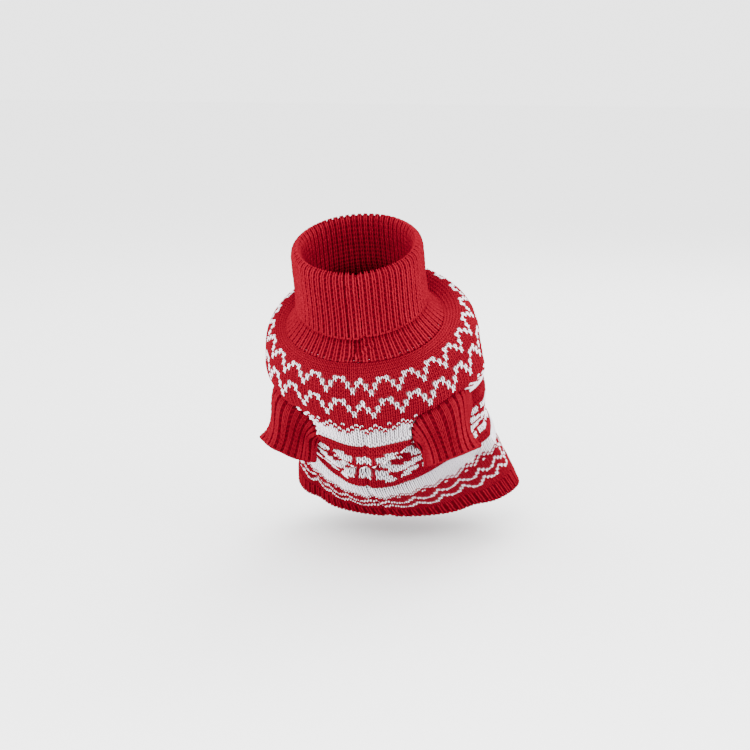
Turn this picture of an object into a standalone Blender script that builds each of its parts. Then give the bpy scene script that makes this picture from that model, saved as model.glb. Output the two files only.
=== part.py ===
"""Knitted roll-neck sweater for a small dog, kept in the hollow form it has when worn.

The wearer would sit facing -Y, with +X on its left and +Z up. Lengths here are in
millimetres and become metres when a mesh is made. The origin is the middle of the
shoulder girth, where the wearer carries the sweater.

Pieces: the body panel (a tube closed by the chest seam, with two leg holes), the
roll collar (neck band, fold and turned-down flap), two ribbed sleeves and the hem rib.
A cloth position is given by its station (cloth length from the neck seam towards the
tail) and its arc (cloth length round the body from the chest seam, + to the left).
"""
import math

import bpy
import numpy as np

MM = 0.001

# Cloth
BODY_WALL = 2.4
RIB_WALL = 2.6
SEAM_GAP = 0.3

# Lengths along the cloth, from the neck seam
HEM_SEAM_STATION = 211.0
HEM_EDGE_STATION = 236.0

# Sections of the body. The belly and back columns are where the section's plane meets
# the mid-plane X = 0. Keel narrows the section between the front legs.
#   station  belly_y  belly_z  back_y  back_z  half_width  keel
BODY_SECTIONS = (
    (0.0, -68.0, -8.3, 28.5, 33.0, 52.5, 0.00),
    (13.0, -69.0, -18.5, 44.5, 43.5, 63.5, 0.00),
    (26.0, -64.5, -32.0, 57.5, 40.0, 70.5, 0.02),
    (44.0, -54.0, -48.5, 73.0, 24.0, 72.5, 0.12),
    (63.0, -41.0, -63.5, 86.0, 3.0, 72.0, 0.33),
    (90.0, -26.5, -80.5, 101.0, -20.0, 69.5, 0.42),
    (136.0, -4.0, -106.5, 126.0, -50.0, 72.5, 0.42),
    (170.0, 20.0, -120.0, 150.0, -70.0, 75.0, 0.30),
    (205.0, 44.0, -131.0, 178.0, -94.0, 78.0, 0.15),
    (236.0, 64.0, -141.0, 201.0, -118.0, 82.5, 0.08),
)

# Main folds of the body, as troughs (depth > 0) or ridges (depth < 0) that run from one
# cloth position to another, bowed sideways by sag. Each row is made on both sides.
#   arc_1  station_1  arc_2  station_2  sag  half_width  depth
BODY_FOLDS = (
    (5.0, 106.0, 42.0, 84.0, 3.0, 6.0, 4.5),
    (6.0, 94.0, 34.0, 79.0, 2.0, 9.0, -3.5),
    (56.0, 44.0, 102.0, 50.0, -2.0, 11.0, -4.0),
    (96.0, 76.0, 142.0, 62.0, 5.0, 8.0, 4.5),
    (92.0, 92.0, 150.0, 84.0, -4.0, 10.0, -2.5),
    (100.0, 122.0, 168.0, 104.0, 6.0, 10.0, 3.2),
    (30.0, 128.0, 84.0, 150.0, -5.0, 10.0, 3.4),
    (120.0, 168.0, 205.0, 152.0, 5.0, 11.0, 3.0),
    (168.0, 30.0, 214.0, 34.0, 3.0, 9.0, 2.6),
    (60.0, 186.0, 66.0, 238.0, 2.0, 12.0, 2.4),
    (128.0, 190.0, 136.0, 238.0, -2.0, 13.0, 2.0),
)

# Leg holes: an oval on the cloth, turned so that its outer end lies higher
HOLE_ARC = 63.0
HOLE_STATION = 71.0
HOLE_LONG_RADIUS = 28.0
HOLE_SHORT_RADIUS = 24.0
HOLE_TURN = math.radians(-22.0)
HOLE_EASE = 0.25

# Sleeves: from the leg hole to a round cuff
CUFF_CENTRE = (58.0, -5.0, -81.5)
CUFF_AXIS = (0.384, -0.084, -0.920)
CUFF_RADIUS = 20.5
SLEEVE_RISE = 15.0
CUFF_RUN = 20.0
CUFF_FLARE = 7.0
# Trough across the middle of the sleeve's outer side
PINCH_ANGLE = 190.0
PINCH_HALF_WIDTH = 55.0
PINCH_DEPTH = 5.0
#   flute_angle  half_width  depth     (angles round the cuff, in degrees)
SLEEVE_FLUTES = (
    (20.0, 16.0, 2.2),
    (78.0, 13.0, 1.5),
    (128.0, 18.0, 2.0),
    (197.0, 14.0, 1.6),
    (250.0, 19.0, 2.4),
    (318.0, 13.0, 1.4),
)

# Roll collar: rings of the cloth's middle line, square to a neck axis that leans forward,
# after the ring that it shares with the body's neck edge
COLLAR_CENTRE = (0.0, -28.4, 24.8)
COLLAR_LEAN = math.radians(23.0)
#   front_height  back_height  radius  back_shift
COLLAR_RINGS = (
    (-9.5, -8.5, 47.0, 2.2),
    (-3.0, 0.5, 41.4, 1.0),
    (8.0, 10.0, 38.0, 0.0),
    (24.0, 24.0, 37.2, 0.0),
    (37.0, 37.0, 37.3, 0.0),
    (43.4, 43.4, 38.2, 0.0),
    (45.9, 45.9, 39.9, 0.0),
    (43.6, 43.6, 41.6, 0.0),
    (37.0, 37.0, 42.2, 0.0),
    (22.0, 23.0, 42.2, 0.0),
    (8.0, 12.0, 42.5, 0.0),
    (0.0, 6.5, 43.2, 0.0),
)

# How finely the solids are faceted
BODY_COLUMNS = 56
BODY_ROWS = 25
HEM_ROWS = 3
COLLAR_COLUMNS = 38
SLEEVE_ROWS = 8

# Fine grid from which cloth positions are read
GRID_COLUMNS = 360
GRID_ROWS = 160

RED_YARN = (0.52, 0.010, 0.018)


def smooth_curve(x, knots, values):
    """Cubic curve through the values at the knots."""
    slopes = np.gradient(values, knots)
    i = np.clip(np.searchsorted(knots, x) - 1, 0, len(knots) - 2)
    span = knots[i + 1] - knots[i]
    t = (x - knots[i]) / span
    near = (2 * t**3 - 3 * t**2 + 1) * values[i] + (t**3 - 2 * t**2 + t) * span * slopes[i]
    far = (3 * t**2 - 2 * t**3) * values[i + 1] + (t**3 - t**2) * span * slopes[i + 1]
    return near + far


def resample_closed(points, count):
    """Equal steps of cloth along a closed line; also its length."""
    steps = np.linalg.norm(np.diff(points, axis=0), axis=1)
    length = np.concatenate([[0.0], np.cumsum(steps)])
    wanted = np.arange(count) / count * length[-1]
    even = np.stack([np.interp(wanted, length, points[:, k]) for k in range(3)], axis=-1)
    return even, length[-1]


def body_ring(station, count):
    """One section of the body, from the chest seam round by the left side."""
    table = np.array(BODY_SECTIONS)
    belly_y, belly_z, back_y, back_z, half_width, keel = (
        smooth_curve(station, table[:, 0], table[:, k]) for k in range(1, 7))
    belly = np.array([0.0, belly_y, belly_z])
    back = np.array([0.0, back_y, back_z])
    angle = np.linspace(0.0, 2 * math.pi, 721)
    front = np.cos(angle)
    side = half_width * np.sin(angle) * (1 - keel * np.clip(front, 0, 1))
    ring = (belly + back) / 2 - np.outer(front, (back - belly) / 2)
    ring[:, 0] += side
    return resample_closed(ring, count)


def grid_normals(grid):
    """Outward normals of a grid of rows round a tube."""
    around = np.roll(grid, -1, axis=1) - np.roll(grid, 1, axis=1)
    along = np.gradient(grid, axis=0)
    normal = np.cross(along, around)
    return normal / np.linalg.norm(normal, axis=-1, keepdims=True)


def fold_depth(arc, station, girth, folds):
    """Sum of the folds at cloth positions; arc runs from -girth/2 to girth/2."""
    depth = np.zeros_like(arc)
    for arc_1, station_1, arc_2, station_2, sag, half_width, fold in folds:
        run = np.array([arc_2 - arc_1, station_2 - station_1])
        length = np.hypot(*run)
        run = run / length
        for mirror in (1.0, -1.0):
            for turn in (0.0, 1.0):
                x = mirror * arc + turn * girth - arc_1
                y = station - station_1
                along = x * run[0] + y * run[1]
                part = np.clip(along / length, 0, 1)
                across = y * run[0] - x * run[1] - sag * 4 * part * (1 - part)
                beyond = np.maximum(np.maximum(-along, along - length), 0)
                fade = np.exp(-(beyond / half_width) ** 2)
                depth += fold * fade * np.exp(-(across / half_width) ** 2)
    return depth


class BodyCloth:
    """The body's cloth as a fine grid, read at any arc and station."""

    def __init__(self):
        self.stations = np.linspace(0.0, HEM_EDGE_STATION, GRID_ROWS)
        rings = [body_ring(s, GRID_COLUMNS) for s in self.stations]
        grid = np.array([points for points, _ in rings])
        self.girths = np.array([girth for _, girth in rings])
        share = np.arange(GRID_COLUMNS) / GRID_COLUMNS
        share = np.where(share > 0.5, share - 1.0, share)
        arc = share[None, :] * self.girths[:, None]
        station = np.broadcast_to(self.stations[:, None], arc.shape)
        depth = fold_depth(arc, station, self.girths[:, None], BODY_FOLDS)
        self.grid = grid - grid_normals(grid) * depth[..., None]
        self.normals = grid_normals(self.grid)

    def at(self, arc, station):
        """Points and outward normals at cloth positions."""
        arc = np.asarray(arc, float)
        station = np.asarray(station, float)
        row = np.clip(station / HEM_EDGE_STATION, 0, 1) * (GRID_ROWS - 1)
        low = np.clip(row.astype(int), 0, GRID_ROWS - 2)
        up = (row - low)[..., None]
        girth = np.interp(station, self.stations, self.girths)
        column = (arc / girth) % 1.0 * GRID_COLUMNS
        left = np.floor(column).astype(int)
        right = (column - left)[..., None]
        left, near = left % GRID_COLUMNS, (left + 1) % GRID_COLUMNS
        results = []
        for field in (self.grid, self.normals):
            first = field[low, left] * (1 - right) + field[low, near] * right
            second = field[low + 1, left] * (1 - right) + field[low + 1, near] * right
            results.append(first * (1 - up) + second * up)
        normal = results[1] / np.linalg.norm(results[1], axis=-1, keepdims=True)
        return results[0], normal


def hole_position(angle, grow, side):
    """Cloth position on the edge of a leg hole, grown outwards by some millimetres."""
    x = (HOLE_LONG_RADIUS + grow) * np.cos(angle)
    y = (HOLE_SHORT_RADIUS + grow) * np.sin(angle)
    arc = HOLE_ARC + x * math.cos(HOLE_TURN) - y * math.sin(HOLE_TURN)
    station = HOLE_STATION + x * math.sin(HOLE_TURN) + y * math.cos(HOLE_TURN)
    return side * arc, station


def hole_radius(arc, station, side):
    """Distance from a leg hole's middle as a share of its edge, and the angle there."""
    dx = side * arc - HOLE_ARC
    dy = station - HOLE_STATION
    x = (dx * math.cos(HOLE_TURN) + dy * math.sin(HOLE_TURN)) / HOLE_LONG_RADIUS
    y = (dy * math.cos(HOLE_TURN) - dx * math.sin(HOLE_TURN)) / HOLE_SHORT_RADIUS
    return np.hypot(x, y), np.arctan2(y, x)


def tube_quads(rows, columns):
    """Quads of a closed tube, each turned outwards."""
    quads = []
    for i in range(rows - 1):
        for j in range(columns):
            k = (j + 1) % columns
            quads.append((i * columns + j, (i + 1) * columns + j,
                          (i + 1) * columns + k, i * columns + k))
    return quads


def add_wall(name, points, normals, quads, wall, material):
    """Make one closed solid: the cloth's two faces and the rims that join them."""
    outer = points + normals * wall / 2
    inner = points - normals * wall / 2
    used = sorted({v for quad in quads for v in quad})
    place = {v: i for i, v in enumerate(used)}
    count = len(used)
    faces = []
    edges = {}
    for quad in quads:
        ring = [place[v] for v in quad]
        faces.append(tuple(ring))
        faces.append(tuple(v + count for v in reversed(ring)))
        for a, b in zip(ring, ring[1:] + ring[:1]):
            edges[(a, b)] = True
    for a, b in edges:
        if (b, a) not in edges and a < b:
            faces += [(b, a, b + count), (a, a + count, b + count)]
        elif (b, a) not in edges:
            faces += [(b, a, a + count), (b, a + count, b + count)]
    vertices = np.concatenate([outer[used], inner[used]]) * MM
    mesh = bpy.data.meshes.new(name)
    mesh.from_pydata(vertices.tolist(), [], faces)
    mesh.materials.append(material)
    mesh.shade_smooth()
    mesh.set_sharp_from_angle(angle=math.radians(50))
    piece = bpy.data.objects.new(name, mesh)
    bpy.context.scene.collection.objects.link(piece)
    return piece


def make_body(cloth, material):
    """The body panel with its leg holes; gives the angles of the points on their edges."""
    stations = np.linspace(SEAM_GAP / 2, HEM_SEAM_STATION - SEAM_GAP / 2, BODY_ROWS)
    girths = np.interp(stations, cloth.stations, cloth.girths)
    share = np.arange(BODY_COLUMNS) / BODY_COLUMNS
    share = np.where(share > 0.5, share - 1.0, share)
    arc = (share[None, :] * girths[:, None]).ravel()
    station = np.repeat(stations, BODY_COLUMNS)
    quads = tube_quads(BODY_ROWS, BODY_COLUMNS)
    rims = {}
    for side in (1, -1):
        radius, angle = hole_radius(arc, station, side)
        near = (radius < 2) & (np.abs(arc) < girths.min() / 2 - 20)
        kept = []
        cut = set()
        for quad in quads:
            middle_arc = np.mean([arc[v] for v in quad])
            middle_station = np.mean([station[v] for v in quad])
            if near[list(quad)].all() and hole_radius(middle_arc, middle_station, side)[0] < 1:
                cut.update(quad)
            else:
                kept.append(quad)
        quads = kept
        rim = sorted(cut & {v for quad in quads for v in quad})
        rims[side] = np.sort(angle[rim])
        arc[rim], station[rim] = hole_position(angle[rim], 0.0, side)
    points, normals = cloth.at(arc, station)
    normals[-BODY_COLUMNS:] = cloth.at(arc[-BODY_COLUMNS:], HEM_SEAM_STATION)[1]
    add_wall("body", points, normals, quads, BODY_WALL, material)
    return rims


def make_hem(cloth, material):
    """The ribbed band that ends the body."""
    stations = np.linspace(HEM_SEAM_STATION + SEAM_GAP / 2, HEM_EDGE_STATION, HEM_ROWS)
    girths = np.interp(stations, cloth.stations, cloth.girths)
    share = np.arange(BODY_COLUMNS) / BODY_COLUMNS
    arc = (share[None, :] * girths[:, None]).ravel()
    station = np.repeat(stations, BODY_COLUMNS)
    points, normals = cloth.at(arc, station)
    normals[:BODY_COLUMNS] = cloth.at(arc[:BODY_COLUMNS], HEM_SEAM_STATION)[1]
    quads = tube_quads(HEM_ROWS, BODY_COLUMNS)
    return add_wall("hem_rib", points, normals, quads, BODY_WALL, material)


def collar_ring(front_height, back_height, radius, back_shift, count):
    """One ring of the collar, from the chest seam round by the left side."""
    angle = 2 * math.pi * np.arange(count) / count
    height = (front_height + back_height) / 2
    height = height + (front_height - back_height) / 2 * np.cos(angle)
    reach = back_shift - radius * np.cos(angle)
    lean_cos, lean_sin = math.cos(COLLAR_LEAN), math.sin(COLLAR_LEAN)
    x = radius * np.sin(angle)
    y = reach * lean_cos - height * lean_sin
    z = reach * lean_sin + height * lean_cos
    return np.stack([x, y, z], axis=-1) + np.array(COLLAR_CENTRE)


def make_collar(cloth, material):
    """Neck band, fold and flap: one rib-knit tube folded over on itself."""
    arc = np.arange(COLLAR_COLUMNS) / COLLAR_COLUMNS * cloth.girths[0]
    edge, edge_normals = cloth.at(arc, np.zeros(COLLAR_COLUMNS))
    below, _ = cloth.at(arc, np.full(COLLAR_COLUMNS, 1.5))
    edge = edge - unit(below - edge) * SEAM_GAP / 2
    rings = [collar_ring(*row, COLLAR_COLUMNS) for row in COLLAR_RINGS]
    rings = np.array([edge] + rings)
    normals = -grid_normals(rings)
    normals[0] = edge_normals
    quads = [tuple(reversed(quad)) for quad in tube_quads(len(rings), COLLAR_COLUMNS)]
    return add_wall("roll_collar", rings.reshape(-1, 3), normals.reshape(-1, 3), quads,
                    RIB_WALL, material)


def unit(vector):
    """The vector at length 1."""
    return vector / np.linalg.norm(vector, axis=-1, keepdims=True)


def turn_between(vector, start, end):
    """Turn a vector by the least turn that takes the start direction to the end one."""
    axis = np.cross(start, end)
    cosine = float(np.dot(start, end))
    along = axis * np.dot(vector, axis) / (1 + cosine)
    return vector * cosine + np.cross(axis, vector) + along


def bell(around, middle, half_width):
    """1 at the middle angle and falling to 0 on both sides of it; middle is in degrees."""
    away = (np.degrees(around) - middle + 180) % 360 - 180
    return np.exp(-(away / half_width) ** 2)


def sleeve_grid(cloth, side, angle):
    """Rings of a sleeve's cloth from the leg hole to the cuff, and their normals."""
    inset = SEAM_GAP + HOLE_EASE + RIB_WALL / 2
    start, outward = cloth.at(*hole_position(angle, -inset, side))
    seat = start - outward * BODY_WALL / 2
    start = start + outward * (BODY_WALL / 2 + SEAM_GAP)
    mirror = np.array([side, 1.0, 1.0])
    centre = np.array(CUFF_CENTRE) * mirror
    axis = unit(np.array(CUFF_AXIS) * mirror)
    middle = start.mean(axis=0)
    facing = unit(outward.mean(axis=0))
    first = turn_between(start[0] - middle, facing, axis)
    first = unit(first - axis * np.dot(first, axis))
    second = np.cross(first, axis) * side
    steps = np.linalg.norm(np.roll(start, -1, axis=0) - start, axis=1)
    around = 2 * math.pi * (np.cumsum(steps) - steps) / steps.sum()
    spoke = np.outer(np.cos(around), first) + np.outer(np.sin(around), second)
    flute = np.zeros(len(around))
    for flute_angle, half_width, depth in SLEEVE_FLUTES:
        flute += depth * bell(around, flute_angle, half_width)
    pinch = PINCH_DEPTH * bell(around, PINCH_ANGLE, PINCH_HALF_WIDTH)
    end = centre + spoke * CUFF_RADIUS
    leave = outward * SLEEVE_RISE * 2
    arrive = axis * CUFF_RUN * 2 + spoke * CUFF_FLARE * 2
    rings = [seat]
    for t in np.linspace(0.0, 1.0, SLEEVE_ROWS - 1):
        ring = (2 * t**3 - 3 * t**2 + 1) * start + (t**3 - 2 * t**2 + t) * leave
        ring = ring + (3 * t**2 - 2 * t**3) * end + (t**3 - t**2) * arrive
        sink = flute * t**1.5 + pinch * math.sin(math.pi * t)
        rings.append(ring - spoke * sink[:, None])
    rings = np.array(rings)
    normals = grid_normals(rings) * side
    edge_run = np.roll(start, -1, axis=0) - np.roll(start, 1, axis=0)
    normals[:2] = unit(np.cross(outward, edge_run)) * side
    return rings, normals


def make_sleeve(cloth, side, name, angle, material):
    """One short ribbed sleeve, on the points of its leg hole."""
    rings, normals = sleeve_grid(cloth, side, angle)
    quads = tube_quads(SLEEVE_ROWS, len(angle))
    if side < 0:
        quads = [tuple(reversed(quad)) for quad in quads]
    return add_wall(name, rings.reshape(-1, 3), normals.reshape(-1, 3), quads,
                    RIB_WALL, material)


def make_material(name, colour):
    """Plain wool-like finish for the solids."""
    material = bpy.data.materials.new(name)
    material.use_nodes = True
    shader = material.node_tree.nodes["Principled BSDF"]
    shader.inputs["Base Color"].default_value = (*colour, 1.0)
    shader.inputs["Roughness"].default_value = 0.9
    shader.inputs["Metallic"].default_value = 0.0
    return material


def main():
    for item in list(bpy.data.objects):
        bpy.data.objects.remove(item)
    knit = make_material("red_knit", RED_YARN)
    rib = make_material("red_rib_knit", RED_YARN)
    cloth = BodyCloth()
    rims = make_body(cloth, knit)
    make_collar(cloth, rib)
    make_sleeve(cloth, 1, "sleeve_left", rims[1], rib)
    make_sleeve(cloth, -1, "sleeve_right", rims[-1], rib)
    make_hem(cloth, rib)


main()
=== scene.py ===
"""Looks of the knitted dog sweater: its yarn, stitch by stitch, on the form of its solids.

Lengths are millimetres, and metres for the camera and lights. A cloth is a tube, read at a
share of the way round (0 to 1, from the chest seam by the left side) and a station
(millimetres of cloth from its first edge). A stitch is two leaf-shaped legs of yarn.
"""
import math

import bpy
import numpy as np
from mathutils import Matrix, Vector


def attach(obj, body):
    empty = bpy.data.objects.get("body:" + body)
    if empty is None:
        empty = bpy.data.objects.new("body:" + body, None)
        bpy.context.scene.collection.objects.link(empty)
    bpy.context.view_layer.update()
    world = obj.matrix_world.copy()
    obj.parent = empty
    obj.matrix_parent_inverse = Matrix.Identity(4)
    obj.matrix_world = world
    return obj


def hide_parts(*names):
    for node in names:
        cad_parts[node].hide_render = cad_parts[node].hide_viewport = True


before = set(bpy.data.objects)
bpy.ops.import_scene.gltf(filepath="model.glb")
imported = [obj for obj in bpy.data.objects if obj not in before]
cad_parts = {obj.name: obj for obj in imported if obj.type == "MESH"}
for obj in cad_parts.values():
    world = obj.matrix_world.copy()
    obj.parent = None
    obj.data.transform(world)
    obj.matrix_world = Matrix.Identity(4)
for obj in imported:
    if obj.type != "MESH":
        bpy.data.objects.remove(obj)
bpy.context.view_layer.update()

MM = 0.001
random = np.random.default_rng(7)

# ---------- form, as in the solids
SEAM_GAP = 0.3
BODY_WALL = 2.4
RIB_WALL = 2.6
HEM_SEAM_STATION = 211.0
HEM_EDGE_STATION = 236.0

#   station  belly_y  belly_z  back_y  back_z  half_width  keel
BODY_SECTIONS = (
    (0.0, -68.0, -8.3, 28.5, 33.0, 52.5, 0.00),
    (13.0, -69.0, -18.5, 44.5, 43.5, 63.5, 0.00),
    (26.0, -64.5, -32.0, 57.5, 40.0, 70.5, 0.02),
    (44.0, -54.0, -48.5, 73.0, 24.0, 72.5, 0.12),
    (63.0, -41.0, -63.5, 86.0, 3.0, 72.0, 0.33),
    (90.0, -26.5, -80.5, 101.0, -20.0, 69.5, 0.42),
    (136.0, -4.0, -106.5, 126.0, -50.0, 72.5, 0.42),
    (170.0, 20.0, -120.0, 150.0, -70.0, 75.0, 0.30),
    (205.0, 44.0, -131.0, 178.0, -94.0, 78.0, 0.15),
    (236.0, 64.0, -141.0, 201.0, -118.0, 82.5, 0.08),
)

# Troughs (depth > 0) and ridges (depth < 0), each made on both sides
#   arc_1  station_1  arc_2  station_2  sag  half_width  depth
BODY_FOLDS = (
    (5.0, 106.0, 42.0, 84.0, 3.0, 6.0, 4.5),
    (6.0, 94.0, 34.0, 79.0, 2.0, 9.0, -3.5),
    (56.0, 44.0, 102.0, 50.0, -2.0, 11.0, -4.0),
    (96.0, 76.0, 142.0, 62.0, 5.0, 8.0, 4.5),
    (92.0, 92.0, 150.0, 84.0, -4.0, 10.0, -2.5),
    (100.0, 122.0, 168.0, 104.0, 6.0, 10.0, 3.2),
    (30.0, 128.0, 84.0, 150.0, -5.0, 10.0, 3.4),
    (120.0, 168.0, 205.0, 152.0, 5.0, 11.0, 3.0),
    (168.0, 30.0, 214.0, 34.0, 3.0, 9.0, 2.6),
    (60.0, 186.0, 66.0, 238.0, 2.0, 12.0, 2.4),
    (128.0, 190.0, 136.0, 238.0, -2.0, 13.0, 2.0),
)

# Smaller folds, which the thickness of the cloth mostly hides
SMALL_FOLDS = (
    (3.0, 103.0, 40.0, 81.5, 3.0, 2.6, 4.0),
    (12.0, 112.0, 34.0, 100.0, 2.0, 2.6, 1.3),
    (20.0, 30.0, 46.0, 26.0, -2.0, 5.0, 0.9),
    (4.0, 52.0, 22.0, 46.0, 2.0, 4.5, 0.7),
    (118.0, 44.0, 150.0, 40.0, 2.0, 4.5, 1.1),
    (138.0, 100.0, 176.0, 92.0, -3.0, 4.0, 1.3),
    (110.0, 140.0, 150.0, 132.0, 3.0, 4.5, 1.2),
    (176.0, 128.0, 208.0, 120.0, 2.0, 5.0, 1.0),
    (86.0, 200.0, 118.0, 190.0, -2.0, 4.5, 1.1),
)

# Leg holes: ovals on the cloth, turned so that their outer ends lie higher. The sleeves
# sit inside them with some ease, and the body's stitches stay outside by a share of size.
HOLE_ARC = 63.0
HOLE_STATION = 71.0
HOLE_LONG_RADIUS = 28.0
HOLE_SHORT_RADIUS = 24.0
HOLE_TURN = math.radians(-22.0)
HOLE_COS = math.cos(HOLE_TURN)
HOLE_SIN = math.sin(HOLE_TURN)
HOLE_EASE = 0.25
HOLE_CLEAR = 1.03

# Sleeves rise off the body, and reach a round cuff by a run along its axis and a flare out
# from it, all carried along the sleeve by the pull
CUFF_CENTRE = (58.0, -5.0, -81.5)
CUFF_AXIS = (0.384, -0.084, -0.920)
CUFF_RADIUS = 20.5
SLEEVE_RISE = 15.0
CUFF_RUN = 20.0
CUFF_FLARE = 7.0
SLEEVE_PULL = 2
SLEEVE_RINGS = 24
# A trough across the middle, and flutes that deepen towards the cuff by a power of the way
FLUTE_POWER = 1.5
#   angle  half_width  depth     (angles round the cuff, in degrees)
SLEEVE_TROUGH = (190.0, 55.0, 5.0)
SLEEVE_FLUTES = (
    (20.0, 16.0, 2.2), (78.0, 13.0, 1.5), (128.0, 18.0, 2.0),
    (197.0, 14.0, 1.6), (250.0, 19.0, 2.4), (318.0, 13.0, 1.4),
)

# Roll collar: rings round a leaning axis, the neck joint first and the flap's edge last
COLLAR_CENTRE = (0.0, -28.4, 24.8)
COLLAR_LEAN = math.radians(23.0)
#   front_height  back_height  radius  back_shift
COLLAR_RINGS = (
    (-9.5, -8.5, 47.0, 2.2),
    (-3.0, 0.5, 41.4, 1.0),
    (8.0, 10.0, 38.0, 0.0),
    (24.0, 24.0, 37.2, 0.0),
    (37.0, 37.0, 37.3, 0.0),
    (43.4, 43.4, 38.2, 0.0),
    (45.9, 45.9, 39.9, 0.0),
    (43.6, 43.6, 41.6, 0.0),
    (37.0, 37.0, 42.2, 0.0),
    (22.0, 23.0, 42.2, 0.0),
    (8.0, 12.0, 42.5, 0.0),
    (0.0, 6.5, 43.2, 0.0),
)

# How finely the forms are worked out, in rows and columns
RING_SAMPLES = 721
STATION_SAMPLES = 600
SHEET_SAMPLES = 50
BODY_CLOTH_GRID = (320, 720)
COLLAR_CLOTH_GRID = (120, 576)
SLEEVE_CLOTH_GRID = (60, 480)

# ---------- knitting
BODY_COLUMNS = 142
# Height of a row of bumps on the back of the knit
BUMP_ROW_HEIGHT = 3.3
#   rows  height
BODY_ROW_HEIGHTS = (
    (12, 2.0333), (2, 1.825), (6, 2.4333), (3, 2.2), (4, 2.6), (4, 3.6), (2, 5.0),
    (3, 2.7), (9, 3.0), (3, 4.0), (2, 3.4), (4, 4.0), (4, 2.6), (22, 2.1068),
)
BODY_ROWS = sum(rows for rows, _ in BODY_ROW_HEIGHTS)
# Where the chest seam has slipped to
#   station  arc
SEAM_PATH = (
    (0.0, 5.0), (18.0, 6.1), (40.0, 5.6), (60.0, 4.6), (88.0, 2.6), (112.0, 0.2),
    (236.0, 0.0),
)
# Rows meet at the seam with a step, and the seam lies in a groove
SEAM_STEP = 1.6
SEAM_GROOVE = 1.5
SEAM_GROOVE_WIDTH = 2.0
# Arc of the collar's seam at the neck joint and at the flap's edge
COLLAR_SEAM = (5.5, 9.0)

# The share of the collar's cloth where it folds, and where the flap starts to slide. Its
# free edge hangs lower by a step before the seam than past it, with a notch between.
FOLD_SHARE = 0.5
FLAP_SHARE = 0.7
#   drop  width  reach
FLAP_STEP = (0.8, 1.2, 25.0)
#   rise  width
FLAP_NOTCH = (1.6, 1.6)
# The neck band sinks beside the seam, and a pinch rises across it. Places are millimetres
# past the seam and along the collar.
#   depth  past  width  first  last  fade
VALLEY = (4.2, -2.0, 4.0, 4.0, 26.0, 6.0)
#   past_1  station_1  past_2  station_2  rise  width  fade
PINCH = (-2.0, 3.0, 7.0, 13.0, 3.6, 1.3, 2.0)

# The chest crease, the first fold, takes in some rows: how far above its middle, over
# what width, how much cloth, and how far that fades down and round the body
#   lip  width  draw  reach  span
CREASE = (5.0, 9.0, 12.5, 50.0, 27.0)

# White yarn that peeps out along the lip of the crease, and at the edges of the leg holes
# between two angles in degrees
#   count  reach  rise
CREASE_DASHES = (9, 27.0, 4.8)
#   side  first  last  count
SEAM_DASHES = ((-1.0, 255.0, 200.0, 6), (1.0, 212.0, 206.0, 2))
SEAM_DASH_GAP = 1.2
#   length  half_width  low  high
CREASE_DASH = (2.6, 0.45, 0.6, 1.5)
SEAM_DASH = (3.2, 0.42, 0.8, 1.7)

# Charts, one letter a stitch: # is white yarn. A short row is one whole repeat. A star's row
# is its middle column and one half. Both count columns from the chest seam.
SMALL_REPEAT = 6
SMALL_START = 2
STAR_REPEAT = 18
STAR_MIDDLE = -2
ZIGZAG = ("..###.", "..#.#.", ".#...#", ".#...#", "#.....", "#.....")
DOTS = ("#..#..", ".#...#", "#.#.#.", "##.#.#")
PLAIN = ("######",)
STAR = (
    "......###.",
    "###.####..",
    "###.###...",
    ".......###",
    ".....#####",
    "...#####..",
    ".#####....",
    "##......##",
)
#   first_row  chart
BANDS = (
    (6, ZIGZAG),
    (14, ZIGZAG),
    (23, DOTS),
    (27, PLAIN * 4),
    (33, STAR + STAR[-2::-1]),
    (50, PLAIN * 4),
    (54, DOTS[::-1]),
    (61, ZIGZAG[::-1]),
    (69, ZIGZAG[::-1]),
)

# One leg of yarn, as shares of its length, half width and height. Both ends are points.
LEG_START_HEIGHT = 0.25
LEG_END_HEIGHT = -0.35
#   along  half_width  height
LEG_PLACES = ((0.22, 0.82, 0.80), (0.52, 1.00, 1.00), (0.80, 0.74, 0.62))
#   across  height
LEG_ACROSS = ((-1.0, 0.0), (0.0, 1.0), (1.0, 0.0))

# Shapes of the stitches: lifts low and high, a reach as a share of the stitch's height, and
# the rest as shares of its width. White ones with white below close into rings, those that
# end a column stand on open feet, and dots are single.
#   low  high  apex  lean  reach  fat  bow
STITCH_SHAPES = {
    "red": (0.1, 1.05, 0.10, 0.26, 1.25, 0.145, 0.03),
    "ring": (0.1, 1.1, 0.08, 0.07, 1.6, 0.10, 0.22),
    "foot": (0.1, 1.0, 0.07, 0.33, 1.55, 0.105, 0.0),
    "dot": (0.1, 1.0, 0.07, 0.29, 1.1, 0.105, 0.04),
    "collar": (0.45, 1.75, 0.155, 0.09, 1.8, 0.13, 0.0),
    "sleeve": (0.45, 1.7, 0.14, 0.20, 1.8, 0.19, 0.0),
    "hem": (0.45, 1.75, 0.155, 0.09, 1.8, 0.12, 0.0),
}
# How far a stitch of the body may reach past its own row, both ends together
STITCH_OVERLAP = 1.4
# Unevenness of a stitch's places, and how much of it its yarn's thickness takes
STITCH_SHAKE = 0.022
YARN_SHAKE = 2.0

# The ribbed pieces: ribs; the grid, rise and squareness of the ground's wave; and over what
# length it rises, from the lead before the piece's first edge
COLLAR_RIBS = 62
#   ribs  points_a_rib  rows  rise  square  joint
RIB_GROUNDS = {
    "collar": (COLLAR_RIBS, 4, 68, 0.75, 0.6, 3.0),
    "sleeve": (24, 8, 28, 0.6, 2.0, 0.2),
    "hem": (71, 4, 16, 0.75, 0.6, 0.2),
}
JOINT_LEAD = 0.2
RIB_GROUND_HALF = 0.4
# The hem's ground starts this far under the body's
HEM_LAP = 0.8
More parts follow.
